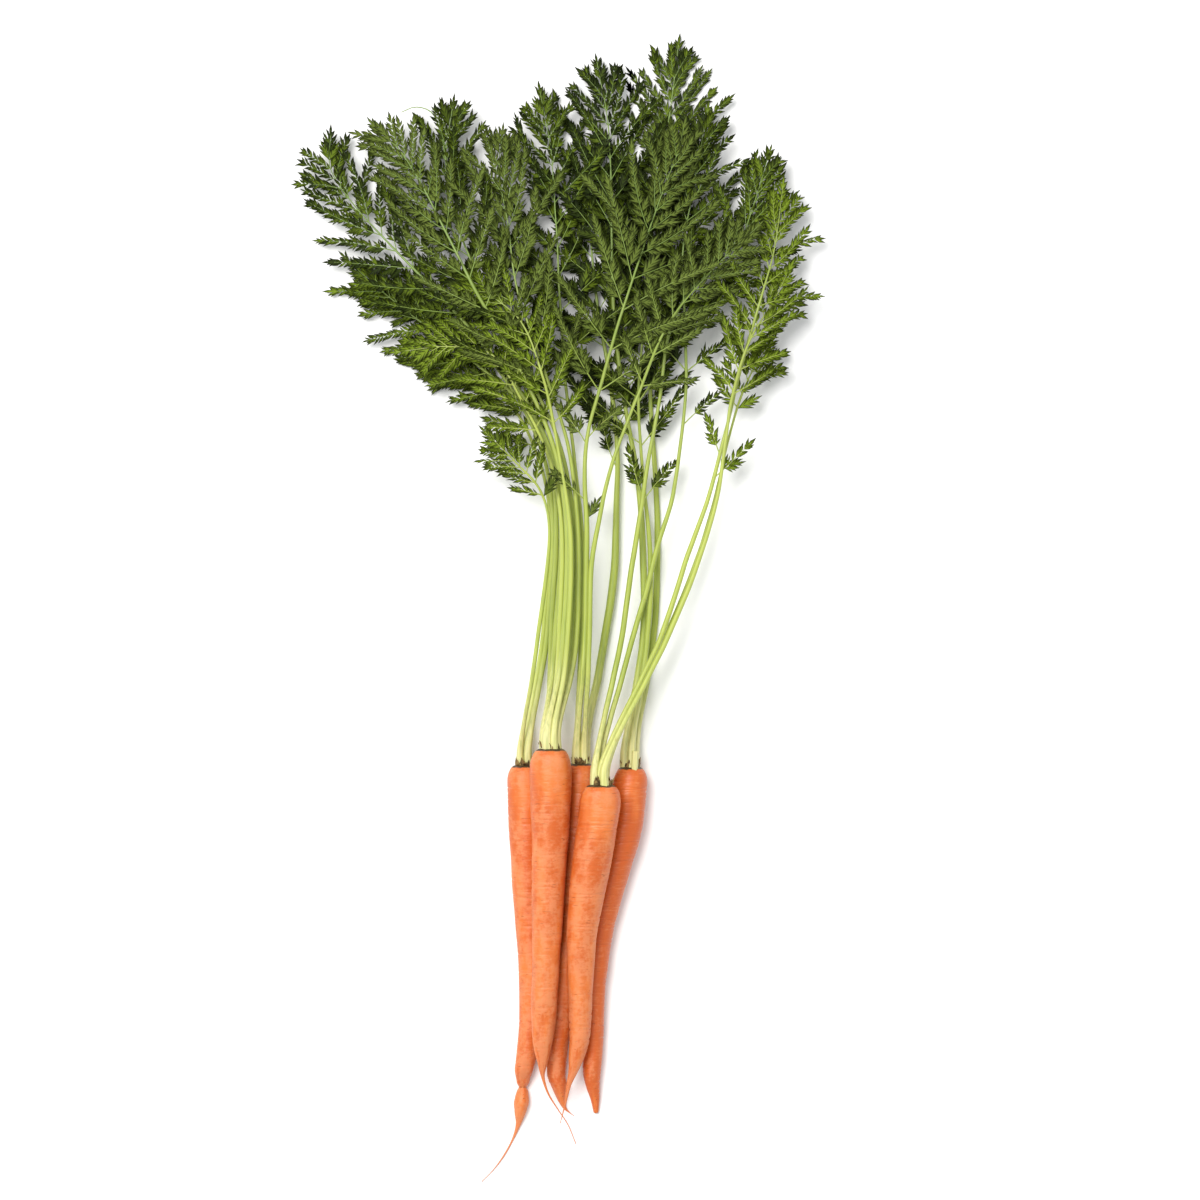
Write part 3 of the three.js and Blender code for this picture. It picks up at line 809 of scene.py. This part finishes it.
# Each size of leaflet, in millimetres: its length, and the length, width and pairs of its lobes.
LEAFLET_SIZES = (
    dict(length=14.0, lobe=6.4, width=1.40, pairs=3),
    dict(length=10.5, lobe=5.0, width=1.35, pairs=2),
    dict(length=7.8, lobe=3.9, width=1.30, pairs=1),
    dict(length=5.8, lobe=0.0, width=1.75, pairs=0),
)
LEAFLET_VARIANTS = 2
LEAFLET_THICKNESS = 0.14
WAIST = 0.46
NARROWING = 0.45  # how much shorter the last lobes are than the first


def leaflet_object(name, size, rng):
    """A closed leaflet one unit long: pointed lobes in pairs along a rib, and one at the end."""
    length, pairs = size["length"], size["pairs"]
    thick = LEAFLET_THICKNESS / length
    waist = WAIST / length
    lobe = 0.5 * size["width"] / length
    last = 1 - min(0.90, max(0.26, 4.9 / length))
    notches = np.linspace(0.08 + 0.2 * last / (pairs + 1), max(last, 0.12), pairs + 1)
    fold, droop = rng.uniform(0.05, 0.30), rng.uniform(0.04, 0.22)
    vertices, rib, faces, under = [], [], [], []

    def point(x, y, z=0.0, on_rib=0.0):
        vertices.append((x, y, z + fold * abs(y) - droop * x * x - 0.25 * y * y))
        rib.append(on_rib)
        return len(vertices) - 1

    def edge(x, y):
        index = point(x, y)
        return index, index

    def middle(x, y=0.0):
        return point(x, y, thick, 1.0), point(x, y, -thick, 1.0)

    def leaf_face(a, b, c, hand):
        upper, lower = (a[0], b[0], c[0]), (a[1], b[1], c[1])
        faces.extend((upper, lower[::-1]) if hand < 0 else (upper[::-1], lower))
        under.extend((0.0, 1.0))

    base, tip = edge(0.0, 0.0), edge(1.0, 0.0)
    roots = [middle(0.6 * a + 0.4 * b) for a, b in zip(notches, notches[1:])] + [middle(notches[-1] + 0.05)]
    for hand in (1, -1):
        gaps = [edge(x, hand * waist) for x in notches]
        leaf_face(base, gaps[0], roots[0], hand)
        for k in range(pairs):
            share = k / pairs
            reach = size["lobe"] * (1 - NARROWING * share) / length * rng.uniform(0.88, 1.12)
            angle = math.radians(rng.uniform(29, 40) - 6 * share)
            ahead = np.array([math.cos(angle), hand * math.sin(angle)])
            across = np.array([-math.sin(angle), hand * math.cos(angle)])
            start = np.array([0.6 * notches[k] + 0.4 * notches[k + 1], 0.0])
            wide = lobe * rng.uniform(0.85, 1.15)
            outer = edge(*(start + 0.45 * reach * ahead + wide * across))
            point_end = edge(*(start + reach * ahead))
            inner = edge(*(start + 0.62 * reach * ahead - wide * across))
            outline = (gaps[k], outer, point_end, inner, gaps[k + 1], roots[k + 1])
            for first, second in zip(outline, outline[1:]):
                leaf_face(first, second, roots[k], hand)
        flank = edge(0.57 * notches[-1] + 0.43, hand * lobe)
        leaf_face(gaps[-1], flank, roots[-1], hand)
        leaf_face(flank, tip, roots[-1], hand)
    piece = new_object(name, vertices, [], faces)
    set_attribute(piece.data, "under", under, domain="FACE")
    set_attribute(piece.data, "rib", rib)
    return piece


def scale_object(name, rng):
    """A closed pointed scale one unit long, the dry end of an old stalk."""
    sides = 6
    rings = [(0.0, 0.20), (0.35, 0.24), (0.75, 0.13)]
    vertices, faces = [], []
    for x, radius in rings:
        for k in range(sides):
            angle = 2 * math.pi * k / sides
            size = radius * rng.uniform(0.8, 1.2)
            vertices.append((x, size * math.cos(angle), 0.55 * size * math.sin(angle)))
    vertices.append((1.0, 0.02, 0.03))
    for ring in range(len(rings) - 1):
        for k in range(sides):
            after = (k + 1) % sides
            a, b = ring * sides, (ring + 1) * sides
            faces.append((a + k, a + after, b + after, b + k))
    last = (len(rings) - 1) * sides
    faces.extend((last + k, last + (k + 1) % sides, len(vertices) - 1) for k in range(sides))
    faces.append(tuple(range(sides))[::-1])
    return new_object(name, vertices, [], faces)


def shape_collection(name, pieces):
    """A collection of shapes for the growth tree to pick from, out of the scene itself."""
    collection = bpy.data.collections.new(name)
    for piece in pieces:
        bpy.context.scene.collection.objects.unlink(piece)
        collection.objects.link(piece)
    return collection


def remove_collection(collection):
    for piece in list(collection.objects):
        bpy.data.objects.remove(piece)
    bpy.data.collections.remove(collection)


# Leaves.

BRANCH_REACH = 1.40  # length of the longest branches, as a share of the half width
TIP_SHARE = 0.45  # share of the blade over which its branches shorten to the tip
LEVEL_LIFT = 1.2
TIP_DROOP = 0.35
PATH_STEP = 2 * MM
CLASP_LENGTH = 30 * MM
CLASP_SWELL = 0.75
STALK_EVEN_LENGTH = 100 * MM
STALK_THINNING = 0.42
TIP_THINNING = 0.80
SHORTEST_LEAFLET = 5.2 * MM
LONGEST_LEAFLET = 16.0 * MM
LEAFLET_ANGLES = (24, 46)
BRANCH_ANGLES = (38, 60)
BRANCH_TURN = 25  # degrees by which the branches at the tip lean further ahead
SPRIG_ANGLES = (25, 40)
LEAFLET_STEP = 0.38  # space between pairs of leaflets, as a share of their length
END_LEAFLET = 9 * MM
BRANCH_THICKNESS = 0.45 * MM
BRANCH_THINNING = 0.72
BRANCH_STEP = 5 * MM
SPRIG_THICKNESS = 0.4 * MM
STUB_REACH = 11 * MM
WISP_RADII = (0.6 * MM, 0.25 * MM)


def leaf_path(root, leaf):
    """The midline of a leaf from inside its crown to its tip, in metres."""
    crown_y, rings = cad_rings(root)
    level = (LOWEST_LEVEL + leaf["level"] * LEVEL_PITCH) * MM
    start = np.array([
        rings[0, 1] + leaf["slot"][0] * SLOT_PITCH * MM, crown_y,
        rings[0, 2] + leaf["slot"][1] * SLOT_PITCH * MM])
    lane = leaf["lane"] * LANE_PITCH * MM
    neck = start[0] + (lane - start[0]) * NECK_SHARE
    places = [start - (0, 2 * MM, 0), start + (0, STUB_LENGTH * MM, 0),
              (neck, NECK_Y * MM, level), (lane, WAIST_Y * MM, level)]
    places += [(x * MM, y * MM, level) for x, y in leaf["route"]]
    path = smooth_path(places, PATH_STEP)
    reach = arc_lengths(path)
    share = smoothstep(reach, reach[-1] - 1.2 * leaf["blade"] * MM, reach[-1])
    arch = 1 + (LEVEL_LIFT - 1) * smoothstep(share, 0, 0.4)
    path[:, 2] *= arch * (1 - TIP_DROOP * smoothstep(share, 0.3, 1))
    return path


def stalk_radii(reach, leaf):
    """A stalk swells where it clasps the crown and thins towards the leaf's tip."""
    base = 1 + CLASP_SWELL * (1 - smoothstep(reach, 0, CLASP_LENGTH))
    blade_start = reach[-1] - leaf["blade"] * MM
    thin = 1 - STALK_THINNING * smoothstep(reach, STALK_EVEN_LENGTH, blade_start)
    tip = 1 - TIP_THINNING * smoothstep(reach, blade_start, reach[-1])
    return STALK_RADIUS * MM * leaf["girth"] * base * thin * tip


def add_leaflet(growth, place, forward, up, size, along, rng):
    """One leaflet, of the shape whose lobes are the right width at this size."""
    kind = min(range(len(LEAFLET_SIZES)), key=lambda i: abs(LEAFLET_SIZES[i]["length"] * MM - size))
    shape = kind * LEAFLET_VARIANTS + int(rng.integers(0, LEAFLET_VARIANTS))
    growth.shape(place, forward, up, size, shape, along)


def grow_branch(growth, place, forward, up, length, thickness, along, width, bare, rng):
    """A branch of a leaf: a bent rib with smaller branches or leaflets in pairs along it."""
    if length < LONGEST_LEAFLET:
        add_leaflet(growth, place, forward, up, max(length, SHORTEST_LEAFLET), along, rng)
        return
    side = np.cross(up, forward)
    bow = rng.uniform(-0.2, 0.2) * side + rng.uniform(-0.18, 0.12) * up
    shares = np.linspace(0, 1, max(4, round(length / BRANCH_STEP)) + 1)[:, None]
    points = place + length * (shares * forward + shares ** 2 * bow)
    growth.rib(points, thickness * (1 - BRANCH_THINNING * shares[:, 0]), [along] * len(points))
    share = bare * rng.uniform(0.8, 1.3)
    while share < 0.95:
        size = max(SHORTEST_LEAFLET, width * length * (1 - share) ** 0.8)
        for hand in (1, -1):
            spot = share + hand * rng.uniform(-0.1, 0.1) * size / length
            at = place + length * (spot * forward + spot ** 2 * bow)
            heading = unit(forward + 2 * spot * bow)
            ahead = turned(heading, up, hand * math.radians(rng.uniform(*LEAFLET_ANGLES) - 6 * share))
            ahead = turned(ahead, heading, hand * rng.uniform(-0.32, 0.22))
            face = turned(up, ahead, rng.uniform(-0.45, 0.45))
            grow_branch(growth, at, ahead, face, size * rng.uniform(0.75, 1.2), 0.6 * thickness, along,
                        0.9 * width, 0.1, rng)
        share += LEAFLET_STEP * size / length
    heading = unit(forward + 2 * bow)
    size = min(LONGEST_LEAFLET, max(1.3 * SHORTEST_LEAFLET, 0.22 * length))
    add_leaflet(growth, points[-1] - 0.35 * size * heading, heading, up, size, along, rng)


def grow_leaf(name, root, leaf, settings, seed):
    """A leaf: its stalk and midrib, and pairs of branches from the start of its blade to its tip."""
    rng = np.random.default_rng(seed)
    path = leaf_path(root, leaf)
    reach = arc_lengths(path)
    heading = unit(np.gradient(path, axis=0))
    growth = Growth()
    growth.rib(path, stalk_radii(reach, leaf), reach, 1.0)
    blade = leaf["blade"] * MM
    half = leaf["half"] * MM
    start = reach[-1] - blade
    sky = np.array([0.0, 0.0, -1.0 if leaf["under"] else 1.0])
    place = start
    roll = rng.uniform(-0.12, 0.12)
    while place < reach[-1] - 2 * MM:
        t = (place - start) / blade
        at, ahead = at_reach(place, reach, path), unit(at_reach(place, reach, heading))
        up = unit(sky - ahead * np.dot(sky, ahead))
        roll = 0.7 * roll + rng.uniform(-0.08, 0.08)
        up = turned(up, ahead, roll)
        spacing = settings.branch_spacing * (0.16 + 0.84 * (1 - t) ** 1.2) * half
        for hand in (1, -1):
            angle = hand * math.radians(rng.uniform(*BRANCH_ANGLES) - BRANCH_TURN * t)
            share = min(1.0, 0.88 + 1.2 * t) * min(1.0, (1 - t) / TIP_SHARE) ** leaf["taper"]
            length = half * BRANCH_REACH * share * rng.uniform(0.84, 1.08) + 2 * MM
            forward = turned(ahead, up, angle)
            forward = turned(forward, ahead, hand * rng.uniform(-0.30, 0.26))
            face = turned(up, forward, rng.uniform(-0.5, 0.5))
            jog = ahead * rng.uniform(-0.1, 0.1) * spacing
            grow_branch(growth, at + jog, forward, face, length, BRANCH_THICKNESS * (1 - 0.5 * t), place,
                        settings.branch_width * (1 - 0.2 * t), 0.03 + 0.15 * (1 - t), rng)
        place += spacing
    end = path[-1] - heading[-1] * END_LEAFLET / 3
    add_leaflet(growth, end, heading[-1], sky, END_LEAFLET, reach[-1], rng)
    if leaf["stub"]:
        aside, above = (SLOT_PITCH * MM * (new - old) for new, old in zip(leaf["stub"], leaf["slot"]))
        foot = path[0] + (aside, 0, above)
        steps = np.linspace(0, 1, 6)
        growth.rib([foot + (0.6 * MM * step, STUB_REACH * step, 0) for step in steps],
                   STALK_RADIUS * MM * (1.5 - 0.15 * steps), 0.002 * steps, 1.0)
    if leaf["wisp"]:
        wisp = smooth_path([(x * MM, y * MM, np.interp(y * MM, path[:, 1], path[:, 2]))
                            for x, y in leaf["wisp"]], 3 * MM)
        growth.rib(wisp, np.linspace(*WISP_RADII, len(wisp)), np.full(len(wisp), reach[-1]))
    for height, hand, length in leaf["sprigs"]:
        place = np.interp(height * MM, path[:, 1], reach)
        ahead = unit(at_reach(place, reach, heading))
        forward = turned(ahead, sky, hand * math.radians(rng.uniform(*SPRIG_ANGLES)))
        grow_branch(growth, at_reach(place, reach, path), forward, sky, length * MM, SPRIG_THICKNESS, place,
                    width=0.45, bare=0.3, rng=rng)
    return growth.piece(f"{name}_frond", leaf["tone"])


# Operators.

class CARROT_OT_roots(bpy.types.Operator):
    """Grow the skin of each root round its CAD solid"""
    bl_idname = "carrot.roots"
    bl_label = "Grow Roots"

    def execute(self, context):
        settings = context.scene.carrot_skin
        material = skin_material(settings)
        for index, name in enumerate(ROOT_NAMES):
            grow_root(name, settings, material, settings.seed + index)
        return {"FINISHED"}


SCALE_SHAPES = 3
SCALES_ROUND_CROWN = 34
SCALE_LENGTHS = (2.6, 5.6)


class CARROT_OT_crowns(bpy.types.Operator):
    """Set the dry scales and old stalk ends round each crown"""
    bl_idname = "carrot.crowns"
    bl_label = "Grow Crowns"

    def execute(self, context):
        settings = context.scene.carrot_skin
        rng = np.random.default_rng(settings.seed + 50)
        material = crown_material(settings)
        tree = growth_tree()
        shapes = shape_collection("crown scales", [
            scale_object(f"scale_{i}", rng) for i in range(SCALE_SHAPES)])
        for name in ROOT_NAMES:
            crown_y, rings = cad_rings(name)
            radius = np.interp(SHOULDER, rings[:, 0], rings[:, 3]) * CROWN_SHARE
            centre = np.array([rings[0, 1], crown_y, rings[0, 2]])
            growth = Growth()
            for k in range(SCALES_ROUND_CROWN):
                angle = 2 * math.pi * k / SCALES_ROUND_CROWN + rng.uniform(-0.1, 0.1)
                outward = np.array([math.sin(angle), 0.0, math.cos(angle)])
                ahead = unit(np.array([0.0, 1.0, 0.0]) + outward * rng.uniform(-0.35, 0.5))
                at = centre + outward * radius * rng.uniform(0.80, 1.05) - (0, 0.6 * MM, 0)
                growth.shape(at, ahead, outward, rng.uniform(*SCALE_LENGTHS) * MM,
                             int(rng.integers(0, SCALE_SHAPES)), 0.0)
            piece = growth.piece(f"{name}_crown", 0.0)
            apply_tree(piece, tree, {
                "Shapes": shapes, "Size Spread": 0.2, "Ripple": 0.4 * MM, "Ripple Scale": 300.0,
                "Sides": 6, "Thin Sides": 5, "Ridges": 3, "Ridge Depth": 0.0,
                "Seed": settings.seed, "Rib Material": material, "Shape Material": material})
            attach(piece, BODY)
        remove_collection(shapes)
        return {"FINISHED"}


class CARROT_OT_leaves(bpy.types.Operator):
    """Grow each leaf: its stalk, its branches and its leaflets"""
    bl_idname = "carrot.leaves"
    bl_label = "Grow Leaves"

    def execute(self, context):
        stalks = context.scene.carrot_stalk
        settings = context.scene.carrot_leaf
        rng = np.random.default_rng(settings.seed)
        rib_material = stalk_material(stalks)
        blade_material = leaflet_material(settings)
        tree = growth_tree()
        shapes = shape_collection("leaflets", [
            leaflet_object(f"leaflet_{i}_{j}", size, rng)
            for i, size in enumerate(LEAFLET_SIZES) for j in range(LEAFLET_VARIANTS)])
        for index, (name, root, leaf) in enumerate(named_leaves()):
            piece = grow_leaf(name, root, leaf, settings, settings.seed + 100 + index)
            apply_tree(piece, tree, {
                "Shapes": shapes, "Size Spread": settings.size_spread, "Ripple": settings.ripple,
                "Ripple Scale": 30.0, "Sides": stalks.sides, "Thin Sides": 5, "Ridges": stalks.ridges,
                "Ridge Depth": stalks.ridge_depth, "Seed": settings.seed + index,
                "Rib Material": rib_material, "Shape Material": blade_material})
            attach(piece, BODY)
            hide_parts(name)
        remove_collection(shapes)
        return {"FINISHED"}


FLOOR_REACH = 3.0
SKY_COLOR = (0.97, 0.985, 1.0, 1.0)
KEY_COLOR = (1.0, 0.985, 0.96)
KEY_PLACE = (-0.7, 0.7, 2.2)
KEY_SIZE = 1.3
VIEW_OFFSET = (0.027, 0.005)  # from the middle of the bunch to the middle of the view


class CARROT_OT_stage(bpy.types.Operator):
    """Set the pale surface, the soft lights and the camera above the bunch"""
    bl_idname = "carrot.stage"
    bl_label = "Set Stage"

    def execute(self, context):
        settings = context.scene.carrot_stage
        scene = context.scene
        low, high = CAD_BOX
        corners = [(-1, -1), (1, -1), (1, 1), (-1, 1)]
        floor = new_object(
            "surface", [(FLOOR_REACH * x, FLOOR_REACH * y, 0) for x, y in corners], [], [(0, 1, 2, 3)])
        floor.data.materials.append(floor_material(settings))

        world = bpy.data.worlds.new("soft studio")
        world.use_nodes = True
        background = world.node_tree.nodes["Background"]
        background.inputs[0].default_value = SKY_COLOR
        background.inputs[1].default_value = settings.sky
        scene.world = world
        light = bpy.data.lights.new("key", "AREA")
        light.shape = "DISK"
        light.size = KEY_SIZE
        light.energy = settings.key
        light.color = KEY_COLOR
        key = bpy.data.objects.new("key", light)
        key.location = KEY_PLACE
        key.rotation_euler = (-key.location).to_track_quat("-Z", "Y").to_euler()
        scene.collection.objects.link(key)

        lens = bpy.data.cameras.new("above")
        lens.sensor_width = 36
        lens.lens = lens.sensor_width * settings.camera_height / settings.field
        lens.clip_end = 50
        camera = bpy.data.objects.new("above", lens)
        middle_x = (low[0] + high[0]) / 2 + VIEW_OFFSET[0]
        middle_y = (low[1] + high[1]) / 2 + VIEW_OFFSET[1]
        camera.location = (middle_x, middle_y, settings.camera_height + high[2] / 2)
        scene.collection.objects.link(camera)
        scene.camera = camera
        scene.view_settings.view_transform = "Standard"
        return {"FINISHED"}


class CARROT_PT_bunch(bpy.types.Panel):
    """The sizes and colours of the bunch, and the steps that grow it"""
    bl_idname = "CARROT_PT_bunch"
    bl_label = "Carrot Bunch"
    bl_space_type = "VIEW_3D"
    bl_region_type = "UI"
    bl_category = "Carrots"

    def draw(self, context):
        layout = self.layout
        for group, (_, operators) in GROUPS.items():
            settings = getattr(context.scene, group)
            box = layout.box()
            for name in settings.bl_rna.properties.keys():
                if name not in ("rna_type", "name"):
                    box.prop(settings, name)
            for operator in operators:
                box.operator(operator)


# Each group of settings, with the steps that read it.
GROUPS = {
    "carrot_skin": (CarrotSkinSettings, ("carrot.roots", "carrot.crowns")),
    "carrot_stalk": (CarrotStalkSettings, ()),
    "carrot_leaf": (CarrotLeafSettings, ("carrot.leaves",)),
    "carrot_stage": (CarrotStageSettings, ("carrot.stage",)),
}
CLASSES = (
    *(settings for settings, _ in GROUPS.values()),
    CARROT_OT_roots, CARROT_OT_crowns, CARROT_OT_leaves, CARROT_OT_stage, CARROT_PT_bunch)


def register():
    for cls in CLASSES:
        bpy.utils.register_class(cls)
    for name, (settings, _) in GROUPS.items():
        setattr(bpy.types.Scene, name, bpy.props.PointerProperty(type=settings))


def unregister():
    for name in GROUPS:
        delattr(bpy.types.Scene, name)
    for cls in reversed(CLASSES):
        bpy.utils.unregister_class(cls)


def main():
    register()
    bpy.ops.carrot.stage()
    bpy.ops.carrot.roots()
    bpy.ops.carrot.crowns()
    bpy.ops.carrot.leaves()


if __name__ == "__main__":
    main()
